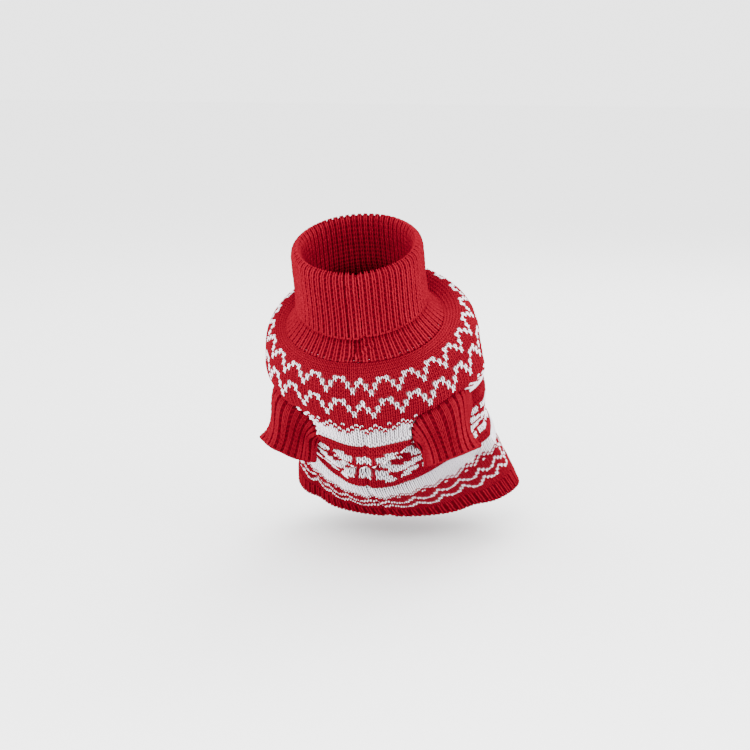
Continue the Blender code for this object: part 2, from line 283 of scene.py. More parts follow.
# Knit columns: their places and width as shares of a rib, and their row height
#   places  width  row_height
RIB_COLUMNS = {
    "collar": ((0.0,), 1.0, 3.2),
    "sleeve": ((-0.15, 0.15), 0.32, 3.0),
    "hem": ((0.0,), 1.0, 3.2),
}
# They stop short of a free edge; the collar's outer ones end under the flap
EDGE_MARGIN = 0.4
COLLAR_KNIT_START = 0.2
COLLAR_OUTER_END = 26.0
# Loops along the free edges; LOOP's start and end are shares of their pitch
#   loops_a_rib  low  size
EDGE_CHAINS = {
    "collar": (2, -0.5, 0.8),
    "sleeve": (3, -0.4, 1.1),
    "hem": (2, -0.5, 0.9),
}
CHAIN_MARGIN = 0.3
#   start  end  spread  close  half_width  high
LOOP = (-0.10, 1.25, 0.45, 0.2, 0.62, 1.5)

# Pale yarn in the small holes at the neck joint
#   mean  deviation
EYELET_STATION = (1.3, 0.15)
EYELET_LEAN = (0.0, 0.08)
EYELET_WHITE = (0.55, 0.25)
EYELET_WHITE_LIMITS = (0.1, 0.9)
#   length  half_width  high
EYELET = (1.35, 0.486, 1.05)

# The body's ground: rows and columns of its grid, and its lifts off the cloth
BODY_GROUND_GRID = (132, 2 * BODY_COLUMNS)
BODY_GROUND_LIFTS = (0.25, -1.15)
# How white the ground is, and how much painted shade darkens it: amid white stitches, in a
# ring, under other white ones and under red ones
#   white  deep
GROUND_LOOKS = ((0.75, 0.74), (0.6, 0.93), (0.0, 0.5), (0.0, 0.35))
# White yarn carried behind red stitches, and the painted shade laid evenly over the ribs'
# ground
FLOAT_WHITE = 0.8
FURROW_PAINTED_SHADE = 0.28

# ---------- yarn colours and tones
RED = (0.195, 0.0045, 0.013)
WHITE = (0.98, 0.92, 1.0)
# Painted shade at a yarn's sides: how much darker red and white yarn is there, and where
# across it that starts
EDGE_PAINTED_SHADES = (0.65, 0.22)
EDGE_RANGE = (0.4, 1.0)
# The usual spread of the noises and of the legs' tones
NOISE_RANGE = (0.3, 0.7)
LEG_RANGE = (-2.5, 2.5)
# Darkest and lightest tones: of the yarn by its leg, its twist (painted shade between plies),
# fibres and broad clouds, and of the ground by its bumps (painted shade, darker between bumps
# and dark overall behind the stitches), its fibres and its painted shade
LEG_TONES = (0.84, 1.14)
TWIST_PAINTED_SHADE_TONES = (0.88, 1.05)
FIBRE_TONES = (0.86, 1.10)
CLOUD_TONES = (0.93, 1.06)
BODY_BUMP_AND_SHADE_TONES = (0.36, 0.72)
RIB_BUMP_AND_SHADE_TONES = (0.34, 0.62)
GROUND_FIBRE_TONES = (0.84, 1.10)
PAINTED_SHADE_TONES = (1.0, 0.12)
# The yarn's twist: its turn in radians a millimetre, slant across, and spread of starts
TWIST_TURN = 4.6
TWIST_SLANT = 1.5
TWIST_STARTS = 10.0
# How far the ground's bumps arch from column to column, in radians
BUMP_ARCH = 1.1
#   scale  detail  roughness
YARN_FIBRES = (1600.0, 3.0, 0.7)
GROUND_FIBRES = (1300.0, 3.0, 0.7)
CLOUDS = (26.0, 2.0, 0.5)
ROUGHNESS = 0.9
# Relief: shares of the twist and fibres in it, its strength, and its height in metres
#   twist  fibre  strength  distance
YARN_RELIEF = (0.55, 0.6, 0.55, 0.00022)
#   fibre  strength  distance
GROUND_RELIEF = (0.3, 0.8, 0.0008)

# ---------- camera and lights, in metres and degrees
#   azimuth  elevation  distance  lens
CAMERA = (12.0, 10.0, 1.5, 105.9)
#   right  down
CAMERA_SHIFT = (0.0025, 0.0276)
FLOOR_Z = -0.165
FLOOR_REACH = 6.0
FLOOR_COLOUR = (0.95, 0.95, 0.95, 1.0)
WORLD_STRENGTH = 3.1
LIGHT_TARGET = (0.0, 0.0, -0.05)
#   name  place  size  power
LIGHTS = (
    ("key", (0.0, -1.6, 0.7), 0.8, 46.0),
    ("fill", (1.2, -1.0, 0.6), 0.9, 18.0),
    ("back", (0.3, 1.3, 1.0), 0.9, 22.0),
)


# ---------- cloths
def unit(vector):
    """The vector at length 1."""
    return vector / np.linalg.norm(vector, axis=-1, keepdims=True)


def smooth_curve(x, knots, values):
    """Cubic curve through the values at the knots."""
    slopes = np.gradient(values, knots, axis=0)
    i = np.clip(np.searchsorted(knots, x) - 1, 0, len(knots) - 2)
    span = knots[i + 1] - knots[i]
    t = (x - knots[i]) / span
    near = (2 * t**3 - 3 * t**2 + 1) * values[i] + (t**3 - 2 * t**2 + t) * span * slopes[i]
    far = (3 * t**2 - 2 * t**3) * values[i + 1] + (t**3 - t**2) * span * slopes[i + 1]
    return near + far


def grid_normals(grid):
    """Outward normals of a grid of rows round a tube."""
    around = np.roll(grid, -1, axis=1) - np.roll(grid, 1, axis=1)
    along = np.gradient(grid, axis=0)
    return unit(np.cross(along, around))


class Cloth:
    """A tube of cloth, read at a share of the way round and a station along it."""

    def __init__(self, grid, stations, normals=None):
        self.grid = grid
        self.stations = stations
        self.normals = grid_normals(grid) if normals is None else normals
        steps = np.linalg.norm(np.roll(grid, -1, axis=1) - grid, axis=2)
        self.girths = steps.sum(axis=1)

    def at(self, share, station):
        """Points and outward normals."""
        rows, columns = self.grid.shape[:2]
        row = np.interp(station, self.stations, np.arange(rows))
        low = np.clip(row.astype(int), 0, rows - 2)
        up = (row - low)[..., None]
        column = share % 1.0 * columns
        left = np.floor(column).astype(int)
        right = (column - left)[..., None]
        left, near = left % columns, (left + 1) % columns
        found = []
        for field in (self.grid, self.normals):
            first = field[low, left] * (1 - right) + field[low, near] * right
            second = field[low + 1, left] * (1 - right) + field[low + 1, near] * right
            found.append(first * (1 - up) + second * up)
        return found[0], unit(found[1])

    def girth(self, station):
        """Length round the cloth."""
        return np.interp(station, self.stations, self.girths)

    def arc(self, share, station):
        """Cloth from the chest seam, positive on the left side."""
        return ((share + 0.5) % 1.0 - 0.5) * self.girth(station)


def fold_depth(arc, station, girth):
    """Sum of the folds at cloth positions; arc runs from -girth/2 to girth/2."""
    depth = np.zeros_like(arc)
    for arc_1, station_1, arc_2, station_2, sag, half_width, fold in BODY_FOLDS + SMALL_FOLDS:
        run = np.array([arc_2 - arc_1, station_2 - station_1])
        length = np.hypot(*run)
        run = run / length
        for mirror in (1.0, -1.0):
            for turn in (0.0, 1.0):
                x = mirror * arc + turn * girth - arc_1
                y = station - station_1
                along = x * run[0] + y * run[1]
                part = np.clip(along / length, 0, 1)
                across = y * run[0] - x * run[1] - sag * 4 * part * (1 - part)
                beyond = np.maximum(np.maximum(-along, along - length), 0)
                fade = np.exp(-(beyond / half_width) ** 2)
                depth += fold * fade * np.exp(-(across / half_width) ** 2)
    return depth


def seam_arc(station):
    """How far the chest seam has slipped to the left, along the arc."""
    stations, arcs = np.array(SEAM_PATH).T
    return smooth_curve(station, stations, arcs)


def row_slip(share):
    """How far rows lie past their even place; share runs from the chest seam to itself."""
    return SEAM_STEP * (0.5 - share % 1.0)


def crease_lip(arc):
    """Station of the upper lip of the crease across the chest."""
    arc_1, station_1, arc_2, station_2, sag = BODY_FOLDS[0][:5]
    part = np.clip((np.abs(arc) - arc_1) / (arc_2 - arc_1), 0, 1.2)
    middle = station_1 + part * (station_2 - station_1) + sag * 4 * part * (1 - part)
    return middle - CREASE[0]


def gather(arc, station):
    """How far cloth is drawn up by the crease across the chest."""
    _, width, draw, reach, span = CREASE
    past = station - crease_lip(arc)
    beyond = np.clip(past / width + 0.5, 0, 1)
    drawn = beyond**2 * (3 - 2 * beyond) * np.clip(1 - past / reach, 0, 1)
    return draw * drawn * np.exp(-(arc / span) ** 2)


def body_ring(station, count):
    """One section of the body at equal steps of cloth, from the middle of the chest."""
    table = np.array(BODY_SECTIONS)
    belly_y, belly_z, back_y, back_z, half_width, keel = (
        smooth_curve(station, table[:, 0], table[:, k]) for k in range(1, 7))
    belly = np.array([0.0, belly_y, belly_z])
    back = np.array([0.0, back_y, back_z])
    angle = np.linspace(0.0, 2 * math.pi, RING_SAMPLES)
    front = np.cos(angle)
    side = half_width * np.sin(angle) * (1 - keel * np.clip(front, 0, 1))
    ring = (belly + back) / 2 - np.outer(front, (back - belly) / 2)
    ring[:, 0] += side
    steps = np.linalg.norm(np.diff(ring, axis=0), axis=1)
    length = np.concatenate([[0.0], np.cumsum(steps)])
    wanted = np.arange(count) / count * length[-1]
    even = np.stack([np.interp(wanted, length, ring[:, k]) for k in range(3)], axis=-1)
    return even, length[-1]


def body_cloth():
    """The body and hem, with their folds and the groove of the chest seam."""
    rows, columns = BODY_CLOTH_GRID
    stations = np.linspace(0.0, HEM_EDGE_STATION, rows)
    rings = [body_ring(s, columns) for s in stations]
    grid = np.array([points for points, _ in rings])
    girths = np.array([girth for _, girth in rings])[:, None]
    share = np.arange(columns) / columns
    share = np.where(share > 0.5, share - 1.0, share)
    arc = share[None, :] * girths
    station = stations[:, None]
    depth = fold_depth(arc, station, girths)
    depth += SEAM_GROOVE * np.exp(-((arc - seam_arc(station)) / SEAM_GROOVE_WIDTH) ** 2)
    return Cloth(grid - grid_normals(grid) * depth[..., None], stations)


def hole_position(angle, grow, side):
    """Cloth position on the edge of a leg hole, grown outwards by some millimetres."""
    x = (HOLE_LONG_RADIUS + grow) * np.cos(angle)
    y = (HOLE_SHORT_RADIUS + grow) * np.sin(angle)
    arc = HOLE_ARC + x * HOLE_COS - y * HOLE_SIN
    station = HOLE_STATION + x * HOLE_SIN + y * HOLE_COS
    return side * arc, station


def hole_radius(arc, station):
    """Distance from the nearer leg hole's middle as a share of its edge, and the angle."""
    dx = np.abs(arc) - HOLE_ARC
    dy = station - HOLE_STATION
    x = (dx * HOLE_COS + dy * HOLE_SIN) / HOLE_LONG_RADIUS
    y = (dy * HOLE_COS - dx * HOLE_SIN) / HOLE_SHORT_RADIUS
    return np.hypot(x, y), np.arctan2(y, x)


def from_rings(rings, rows, outward):
    """A cloth from its rings, at equal steps along its mean length."""
    rings = np.array(rings)
    steps = np.linalg.norm(np.diff(rings, axis=0), axis=2).mean(axis=1)
    length = np.concatenate([[0.0], np.cumsum(steps)])
    stations = np.linspace(0.0, length[-1], rows)
    grid = np.array([smooth_curve(station, length, rings) for station in stations])
    return Cloth(grid, stations, grid_normals(grid) * outward)


def collar_ring(front_height, back_height, radius, back_shift, count):
    """One ring of the collar, from the middle of the chest round by the left side."""
    angle = 2 * math.pi * np.arange(count) / count
    height = (front_height + back_height) / 2
    height = height + (front_height - back_height) / 2 * np.cos(angle)
    reach = back_shift - radius * np.cos(angle)
    lean_cos, lean_sin = math.cos(COLLAR_LEAN), math.sin(COLLAR_LEAN)
    x = radius * np.sin(angle)
    y = reach * lean_cos - height * lean_sin
    z = reach * lean_sin + height * lean_cos
    return np.stack([x, y, z], axis=-1) + np.array(COLLAR_CENTRE)


def seam_dip(past, station):
    """Depth of the valley beside the collar's seam, less the pinch that rises across it."""
    depth, middle, width, first, last, fade = VALLEY
    valley = depth * np.exp(-((past - middle) / width) ** 2)
    x, y, x_2, y_2, rise, width, ease = PINCH
    length = math.hypot(x_2 - x, y_2 - y)
    run = ((past - x) * (x_2 - x) + (station - y) * (y_2 - y)) / length
    off = ((past - x) * (y_2 - y) - (station - y) * (x_2 - x)) / length
    beyond = np.maximum(np.maximum(-run, run - length), 0)
    pinch = rise * np.exp(-(off / width) ** 2 - (beyond / ease) ** 2)
    ends = np.clip((last - station) / fade, 0, 1) * np.clip(station / first, 0, 1)
    return ends * (valley - pinch)


def flap_slide(past, along):
    """How far the flap's cloth hangs lower beside its seam."""
    drop, width, reach = FLAP_STEP
    step = -drop * np.tanh(past / width) * np.exp(-np.abs(past) / reach)
    rise, width = FLAP_NOTCH
    notch = rise * np.exp(-(past / width) ** 2)
    return np.clip((along - FLAP_SHARE) / (1 - FLAP_SHARE), 0, 1) ** 2 * (step - notch)


def collar_cloth(body):
    """Neck band, fold and turned-down flap."""
    rows, columns = COLLAR_CLOTH_GRID
    share = np.arange(columns) / columns
    edge, _ = body.at(share, np.zeros(columns))
    rings = [edge] + [collar_ring(*row, columns) for row in COLLAR_RINGS]
    cloth = from_rings(rings, rows, -1.0)
    along = cloth.stations[:, None] / cloth.stations[-1]
    seam = COLLAR_SEAM[0] + (COLLAR_SEAM[1] - COLLAR_SEAM[0]) * along
    past = cloth.arc(share, cloth.stations[:, None]) - seam
    sink = SEAM_GROOVE * np.exp(-(past / SEAM_GROOVE_WIDTH) ** 2)
    sink = sink + seam_dip(past, cloth.stations[:, None])
    outward = cloth.normals * np.where(along > FOLD_SHARE, -1.0, 1.0)[..., None]
    down = unit(np.gradient(cloth.grid, axis=0))
    slide = flap_slide(past, along)
    grid = cloth.grid - outward * sink[..., None] + down * slide[..., None]
    return Cloth(grid, cloth.stations, -grid_normals(grid))


def even_grid(first, last, rows, columns):
    """Cloth positions of an even grid."""
    return np.meshgrid(np.arange(columns) / columns, np.linspace(first, last, rows))


def turn_between(vector, start, end):
    """Turn a vector by the least turn that takes the start direction to the end one."""
    axis = np.cross(start, end)
    cosine = float(np.dot(start, end))
    along = axis * np.dot(vector, axis) / (1 + cosine)
    return vector * cosine + np.cross(axis, vector) + along


def bell(around, middle, half_width, depth):
    """The depth at the middle angle, falling to 0 on both sides; middle is in degrees."""
    away = (np.degrees(around) - middle + 180) % 360 - 180
    return depth * np.exp(-(away / half_width) ** 2)


def sleeve_cloth(body, side):
    """A sleeve, from its seat in the leg hole to the cuff."""
    rows, columns = SLEEVE_CLOTH_GRID
    angle = -math.pi + 2 * math.pi * np.arange(columns) / columns
    arc, station = hole_position(angle, -(SEAM_GAP + HOLE_EASE + RIB_WALL / 2), side)
    start, outward = body.at(arc / body.girth(station), station)
    seat = start - outward * BODY_WALL / 2
    start = start + outward * (BODY_WALL / 2 + SEAM_GAP)
    centre, axis = np.array([CUFF_CENTRE, CUFF_AXIS]) * (side, 1.0, 1.0)
    axis = unit(axis)
    facing = unit(outward.mean(axis=0))
    first = turn_between(start[0] - start.mean(axis=0), facing, axis)
    first = unit(first - axis * np.dot(first, axis))
    second = np.cross(first, axis) * side
    steps = np.linalg.norm(np.roll(start, -1, axis=0) - start, axis=1)
    around = 2 * math.pi * (np.cumsum(steps) - steps) / steps.sum()
    spoke = np.outer(np.cos(around), first) + np.outer(np.sin(around), second)
    flute = sum(bell(around, *row) for row in SLEEVE_FLUTES)
    trough = bell(around, *SLEEVE_TROUGH)
    end = centre + spoke * CUFF_RADIUS
    leave = outward * SLEEVE_RISE * SLEEVE_PULL
    arrive = axis * CUFF_RUN * SLEEVE_PULL + spoke * CUFF_FLARE * SLEEVE_PULL
    rings = [seat]
    for t in np.linspace(0.0, 1.0, SLEEVE_RINGS):
        ring = (2 * t**3 - 3 * t**2 + 1) * start + (t**3 - 2 * t**2 + t) * leave
        ring = ring + (3 * t**2 - 2 * t**3) * end + (t**3 - t**2) * arrive
        sink = flute * t**FLUTE_POWER + trough * math.sin(math.pi * t)
        rings.append(ring - spoke * sink[:, None])
    return from_rings(rings, rows, side)


# ---------- meshes
def add_object(name, data):
    """A new object in the scene."""
    added = bpy.data.objects.new(name, data)
    bpy.context.scene.collection.objects.link(added)
    return added


def make_piece(name, points, faces, material, values, uv):
    """A smooth mesh piece from points in millimetres, arrays of faces and point values."""
    mesh = bpy.data.meshes.new(name)
    mesh.vertices.add(len(points))
    mesh.vertices.foreach_set("co", (points * MM).astype(np.float32).ravel())
    totals = np.concatenate([np.full(len(block), block.shape[1]) for block in faces])
    corners = np.concatenate([block.ravel() for block in faces])
    mesh.loops.add(len(corners))
    mesh.loops.foreach_set("vertex_index", corners.astype(np.int32))
    mesh.polygons.add(len(totals))
    starts = np.concatenate([[0], np.cumsum(totals)[:-1]])
    mesh.polygons.foreach_set("loop_start", starts.astype(np.int32))
    mesh.polygons.foreach_set("use_smooth", np.ones(len(totals), bool))
    mesh.materials.append(material)
    for key, value in values.items():
        layer = mesh.attributes.new(key, "FLOAT", "POINT")
        layer.data.foreach_set("value", value.astype(np.float32))
    layer = mesh.uv_layers.new(name="yarn")
    layer.data.foreach_set("uv", uv[corners].astype(np.float32).ravel())
    mesh.update(calc_edges=True)
    piece = add_object(name, mesh)
    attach(piece, "root")
    return piece


class Yarn:
    """Legs of yarn collected for one piece."""

    def __init__(self):
        self.points = []
        self.values = {"white": [], "tone": []}
        self.uv = []
        self.count = 0

    def lay(self, cloth, start, end, half_width, low, high, white=0.0, face=1.0, bow=0.0):
        """Lay legs from start to end, arrays of (share, station).

        low is the lift of a leg's edges, and high that of its crown.
        """
        count = len(start)
        girth = cloth.girth((start[:, 1] + end[:, 1]) / 2)
        run = np.stack([(end[:, 0] - start[:, 0]) * girth, end[:, 1] - start[:, 1]], axis=1)
        length = np.linalg.norm(run, axis=1)
        across = np.stack([-run[:, 1], run[:, 0]], axis=1) / length[:, None]
        part, side, wide, rise = leg_points()
        sway = np.reshape(bow, (-1, 1)) * 4 * part * (1 - part)
        off = side * wide * np.reshape(half_width, (-1, 1)) + sway
        share = start[:, :1] + (run[:, :1] * part + across[:, :1] * off) / girth[:, None]
        station = start[:, 1:] + run[:, 1:] * part + across[:, 1:] * off
        low = np.reshape(low, (-1, 1))
        lift = low + (np.reshape(high, (-1, 1)) - low) * rise
        points, normals = cloth.at(share, station)
        self.points.append((points + normals * (lift * face)[..., None]).reshape(-1, 3))
        tone = random.normal(0.0, 1.0, count)
        self.values["tone"].append(np.repeat(tone, len(part)))
        self.values["white"].append(np.repeat(white * np.ones(count), len(part)))
        along = part * length[:, None] + random.uniform(0.0, TWIST_STARTS, count)[:, None]
        uv = np.stack([along, np.broadcast_to(side, along.shape)], axis=-1)
        self.uv.append(uv.reshape(-1, 2))
        self.count += count

    def piece(self, name, material, flip=False):
        """The collected legs as one mesh."""
        quads, tris = leg_faces()
        size = len(leg_points()[0])
        base = (np.arange(self.count) * size)[:, None, None]
        faces = [(quads[None] + base).reshape(-1, 4), (tris[None] + base).reshape(-1, 3)]
        if flip:
            faces = [block[:, ::-1] for block in faces]
        values = {key: np.concatenate(value) for key, value in self.values.items()}
        points = np.concatenate(self.points)
        return make_piece(name, points, faces, material, values, np.concatenate(self.uv))


def leg_points():
    """Place along, place across, width share and height share of each point of a leg."""
    table = [(0.0, 0.0, 0.0, LEG_START_HEIGHT)]
    for along, half_width, height in LEG_PLACES:
        for across, rise in LEG_ACROSS:
            table.append((along, across, half_width, height * rise))
    table.append((1.0, 0.0, 0.0, LEG_END_HEIGHT))
    return np.array(table).T


def leg_faces():
    """Quads and triangles of one leg."""
    wide = len(LEG_ACROSS)
    quads, tris = [], []
    last = 1 + wide * len(LEG_PLACES)
    for j in range(wide - 1):
        tris.append((0, 1 + j, 2 + j))
        tris.append((last, last - wide + j + 1, last - wide + j))
        for i in range(len(LEG_PLACES) - 1):
            a = 1 + i * wide + j
            quads.append((a, a + wide, a + wide + 1, a + 1))
    return np.array(quads), np.array(tris)


def lay_knit(yarn, cloth, share, station, width, height, shape, white=0.0,
             face=1.0, way=1.0, overlap=math.inf):
    """Lay plain stitches: two legs each, spreading from an apex.

    width is a share of the way round and height is millimetres. way is 1 where the apex
    points to station 0, and -1 where it points away. A stitch passes its own height by no
    more than the overlap.
    """
    low, high, apex, lean, reach, fat, bow = STITCH_SHAPES[shape]
    count = len(share)
    girth = cloth.girth(station)
    half_length = np.minimum(reach * height, height + overlap) / 2
    for hand in (-1.0, 1.0):
        shake = random.normal(0.0, STITCH_SHAKE, (count, 3))
        top = share + hand * (apex + shake[:, 0]) * width
        foot = share + hand * (apex + lean + shake[:, 1]) * width
        start = np.stack([top, station - way * half_length], axis=1)
        end = np.stack([foot, station + way * half_length], axis=1)
        half_width = fat * width * girth * (1 + YARN_SHAKE * shake[:, 2])
        yarn.lay(cloth, start, end, half_width, low, high * (1 + shake[:, 2]),
                 white, face, -hand * way * bow * width * girth)


def wall_faces(rows, columns, keep=None):
    """Faces of a closed wall on a grid: its outer side, its inner side and its rims."""
    corner = np.arange((rows - 1) * columns)
    beside = corner + 1 - columns * (corner % columns == columns - 1)
    quads = np.stack([corner, corner + columns, beside + columns, beside], axis=1)
    if keep is not None:
        quads = quads[keep.ravel()]
    count = rows * columns
    edges = np.concatenate([quads[:, [a, (a + 1) % 4]] for a in range(4)])
    code = edges[:, 0] * count + edges[:, 1]
    back = edges[:, 1] * count + edges[:, 0]
    rim = edges[~np.isin(code, back)]
    rims = np.stack([rim[:, 1], rim[:, 0], rim[:, 0] + count, rim[:, 1] + count], axis=1)
    return np.concatenate([quads, quads[:, ::-1] + count, rims])


def make_shell(name, cloth, share, station, outer, inner, material, values, keep=None,
               flip=False):
    """A closed thin wall on a grid of cloth positions, with its lifts outside and inside."""
    points, normals = cloth.at(share, station)
    both = [points + normals * np.expand_dims(lift, -1) for lift in (outer, inner)]
    both = np.concatenate(both).reshape(-1, 3)
    faces = wall_faces(*share.shape, keep)
    if flip:
        faces = faces[:, ::-1]
    used = np.unique(faces)
    place = np.zeros(len(both), int)
    place[used] = np.arange(len(used))
    cloth_uv = np.stack([share * 100, station], axis=-1).reshape(-1, 2)
    uv = np.tile(cloth_uv, (2, 1))[used]
    values = {key: value[used] for key, value in values.items()}
    return make_piece(name, both[used], [place[faces]], material, values, uv)


# ---------- materials
class Nodes:
    """Short calls for a material's node tree."""

    def __init__(self, name):
        self.material = bpy.data.materials.new(name)
        self.material.use_nodes = True
        self.tree = self.material.node_tree
        self.shader = self.tree.nodes["Principled BSDF"]
        self.shader.inputs["Roughness"].default_value = ROUGHNESS

    def add(self, kind, settings=None, **inputs):
        """Add a node; an input is a value or another node's socket."""
        node = self.tree.nodes.new(kind)
        for key, value in (settings or {}).items():
            setattr(node, key, value)
        for key, value in inputs.items():
            self.link(node, key, value)
        return node

    def link(self, node, key, value):
        """Set or link one input, by name or by number."""
        socket = node.inputs[key]
        if isinstance(value, bpy.types.NodeSocket):
            self.tree.links.new(value, socket)
        else:
            socket.default_value = value

    def math(self, operation, *numbers):
        """One math node's result."""
        node = self.add("ShaderNodeMath", {"operation": operation})
        for i, number in enumerate(numbers):
            self.link(node, i, number)
        return node.outputs[0]

    def mix(self, share, first, second, blend="MIX"):
        """Mix two colours."""
        node = self.add("ShaderNodeMix", {"data_type": "RGBA", "blend_type": blend})
        for i, value in ((0, share), (6, first), (7, second)):
            self.link(node, i, value)
        return node.outputs[2]

    def value(self, name):
        """A number held by the mesh's points."""
        return self.add("ShaderNodeAttribute", {"attribute_name": name}).outputs["Fac"]

    def spread(self, value, new, old=(0.0, 1.0)):
        """A value moved to a new range from its old one."""
        node = self.add("ShaderNodeMapRange", Value=value)
        for key, number in zip(("From Min", "From Max", "To Min", "To Max"), (*old, *new)):
            node.inputs[key].default_value = number
        return node.outputs[0]

    def yarn_place(self):
        """A point's place along and across its yarn, or round and along its cloth."""
        place = self.add("ShaderNodeUVMap", {"uv_map": "yarn"})
        parts = self.add("ShaderNodeSeparateXYZ", Vector=place.outputs[0])
        return parts.outputs[0], parts.outputs[1]

    def noise(self, scale, detail, roughness):
        """Noise in the piece's own space."""
        where = self.add("ShaderNodeTexCoord")
        node = self.add("ShaderNodeTexNoise", Vector=where.outputs["Object"], Scale=scale,
                        Detail=detail, Roughness=roughness)
        return node.outputs[0]

    def dye_and_paint_shade(self, tones):
        """Colour the surface red or white by its points, at the product of some tones,
        painted shade among them.
        """
        tone = tones[0]
        for other in tones[1:]:
            tone = self.math("MULTIPLY", tone, other)
        shade = self.add("ShaderNodeCombineColor")
        for socket in shade.inputs[:3]:
            self.tree.links.new(tone, socket)
        colour = self.mix(self.value("white"), (*RED, 1.0), (*WHITE, 1.0))
        colour = self.mix(1.0, colour, shade.outputs[0], "MULTIPLY")
        self.link(self.shader, "Base Color", colour)
        self.shader.inputs["Specular IOR Level"].default_value = 0.0

    def relief(self, height, strength, distance):
        """Small bumps and hollows of the surface."""
        bump = self.add("ShaderNodeBump", Height=height, Strength=strength, Distance=distance)
        self.link(self.shader, "Normal", bump.outputs[0])


def yarn_material():
    """Twisted acrylic yarn, red or white by the stitch, with painted shade at its sides and
    between its plies.
    """
    nodes = Nodes("acrylic_yarn")
    along, across = nodes.yarn_place()
    # The twist: stripes of painted shade between the plies, and relief
    slant = nodes.math("MULTIPLY", across, TWIST_SLANT)
    turn = nodes.math("SINE", nodes.math("MULTIPLY_ADD", along, TWIST_TURN, slant))
    twist = nodes.spread(turn, (0.0, 1.0), (-1.0, 1.0))
    fibre = nodes.noise(*YARN_FIBRES)
    cloud = nodes.noise(*CLOUDS)
    # Painted shade: each leg darker towards its sides, as if the next yarn shaded it
    side = nodes.spread(nodes.math("ABSOLUTE", across), (0.0, 1.0), EDGE_RANGE)
    shade = nodes.spread(nodes.value("white"), EDGE_PAINTED_SHADES)
    nodes.dye_and_paint_shade((
        nodes.spread(nodes.value("tone"), LEG_TONES, LEG_RANGE),
        nodes.math("SUBTRACT", 1.0, nodes.math("MULTIPLY", shade, side)),
        nodes.spread(twist, TWIST_PAINTED_SHADE_TONES),
        nodes.spread(fibre, FIBRE_TONES, NOISE_RANGE),
        nodes.spread(cloud, CLOUD_TONES, NOISE_RANGE),
    ))
    twist_height, fibre_height, strength, distance = YARN_RELIEF
    height = nodes.math("MULTIPLY", fibre, fibre_height)
    height = nodes.math("ADD", nodes.math("MULTIPLY", twist, twist_height), height)
    nodes.relief(height, strength, distance)
    return nodes.material


def ground_material(name, columns, tones):
    """The knit behind the stitches and its inside: rows of small purl bumps, darkened by
    painted shade.
    """
    nodes = Nodes(name)
    around, station = nodes.yarn_place()
    wave = nodes.math("COSINE", nodes.math("MULTIPLY", around, columns / 100 * 2 * math.pi))
    row = nodes.math("MULTIPLY", station, 2 * math.pi / BUMP_ROW_HEIGHT)
    arch = nodes.math("ADD", row, nodes.math("MULTIPLY", wave, BUMP_ARCH))
    bumps = nodes.spread(nodes.math("SINE", arch), (0.0, 1.0), (-1.0, 1.0))
    fibre = nodes.noise(*GROUND_FIBRES)
    nodes.dye_and_paint_shade((
        # The bumps' tone: painted shade between the bumps, and kept low as painted shade
        # behind the stitches
        nodes.spread(bumps, tones),
        # Painted shade, as much as the points' painted shade value
        nodes.spread(nodes.value("deep"), PAINTED_SHADE_TONES),
        nodes.spread(fibre, GROUND_FIBRE_TONES, NOISE_RANGE),
    ))
    fibre_height, strength, distance = GROUND_RELIEF
    height = nodes.math("ADD", bumps, nodes.math("MULTIPLY", fibre, fibre_height))
    nodes.relief(height, strength, distance)
    return nodes.material


# ---------- the sweater
def row_edges():
    """Stations of the edges between the body's rows, before the crease takes any in."""
    heights = np.concatenate([np.full(rows, height) for rows, height in BODY_ROW_HEIGHTS])
    return SEAM_GAP / 2 + np.concatenate([[0.0], np.cumsum(heights)])


def white_stitches():
    """Which stitches are white, for every row and column from the chest seam."""
    white = np.zeros((BODY_ROWS, BODY_COLUMNS), bool)
    column = np.arange(BODY_COLUMNS)
    for first, chart in BANDS:
        for row, line in enumerate(chart):
            letters = np.array(list(line)) == "#"
            if len(letters) == SMALL_REPEAT:
                place = (column - SMALL_START) % SMALL_REPEAT
            else:
                half = STAR_REPEAT // 2
                place = np.abs((column - STAR_MIDDLE + half) % STAR_REPEAT - half)
            white[first + row] = letters[place]
    return white


def outside_holes(cloth, share, station, edge):
    """True outside both leg holes, grown to a share of their size."""
    radius, _ = hole_radius(cloth.arc(share, station), station)
    return radius > edge


def stitch_places(cloth):
    """Share, station and height of every stitch of the body, by row and column."""
    placed = np.linspace(0.0, HEM_SEAM_STATION, STATION_SAMPLES)
    edges = row_edges()
    station, height = np.zeros((2, BODY_ROWS, BODY_COLUMNS))
    share = (np.arange(BODY_COLUMNS) + 0.5) / BODY_COLUMNS
    for column, from_seam in enumerate(share):
        arc = cloth.arc(from_seam, placed) + seam_arc(placed)
        even = placed + gather(arc, placed) - row_slip(from_seam)
        line = np.interp(edges, even, placed)
        station[:, column] = (line[1:] + line[:-1]) / 2
        height[:, column] = np.diff(line)
    return share + seam_arc(station) / cloth.girth(station), station, height


def lay_dashes(cloth, legs, arc, station, length, half_width, low, high):
    """Lay short white lengths of yarn along the line that their places make."""
    girth = cloth.girth(station)
    run = np.stack([np.gradient(arc), np.gradient(station)], axis=1)
    run = unit(run) * length / 2
    step = np.stack([run[:, 0] / girth, run[:, 1]], axis=1)
    place = np.stack([arc / girth, station], axis=1)
    legs.lay(cloth, place - step, place + step, half_width, low, high, 1.0)


def white_dashes(cloth, legs):
    """White yarn that peeps out of the chest crease and at the seams of both sleeves."""
    count, reach, rise = CREASE_DASHES
    arc = np.linspace(-reach, reach, count)
    lay_dashes(cloth, legs, arc, crease_lip(arc) - rise, *CREASE_DASH)
    for side, first, last, count in SEAM_DASHES:
        angle = np.radians(np.linspace(first, last, count))
        lay_dashes(cloth, legs, *hole_position(angle, SEAM_DASH_GAP, side), *SEAM_DASH)


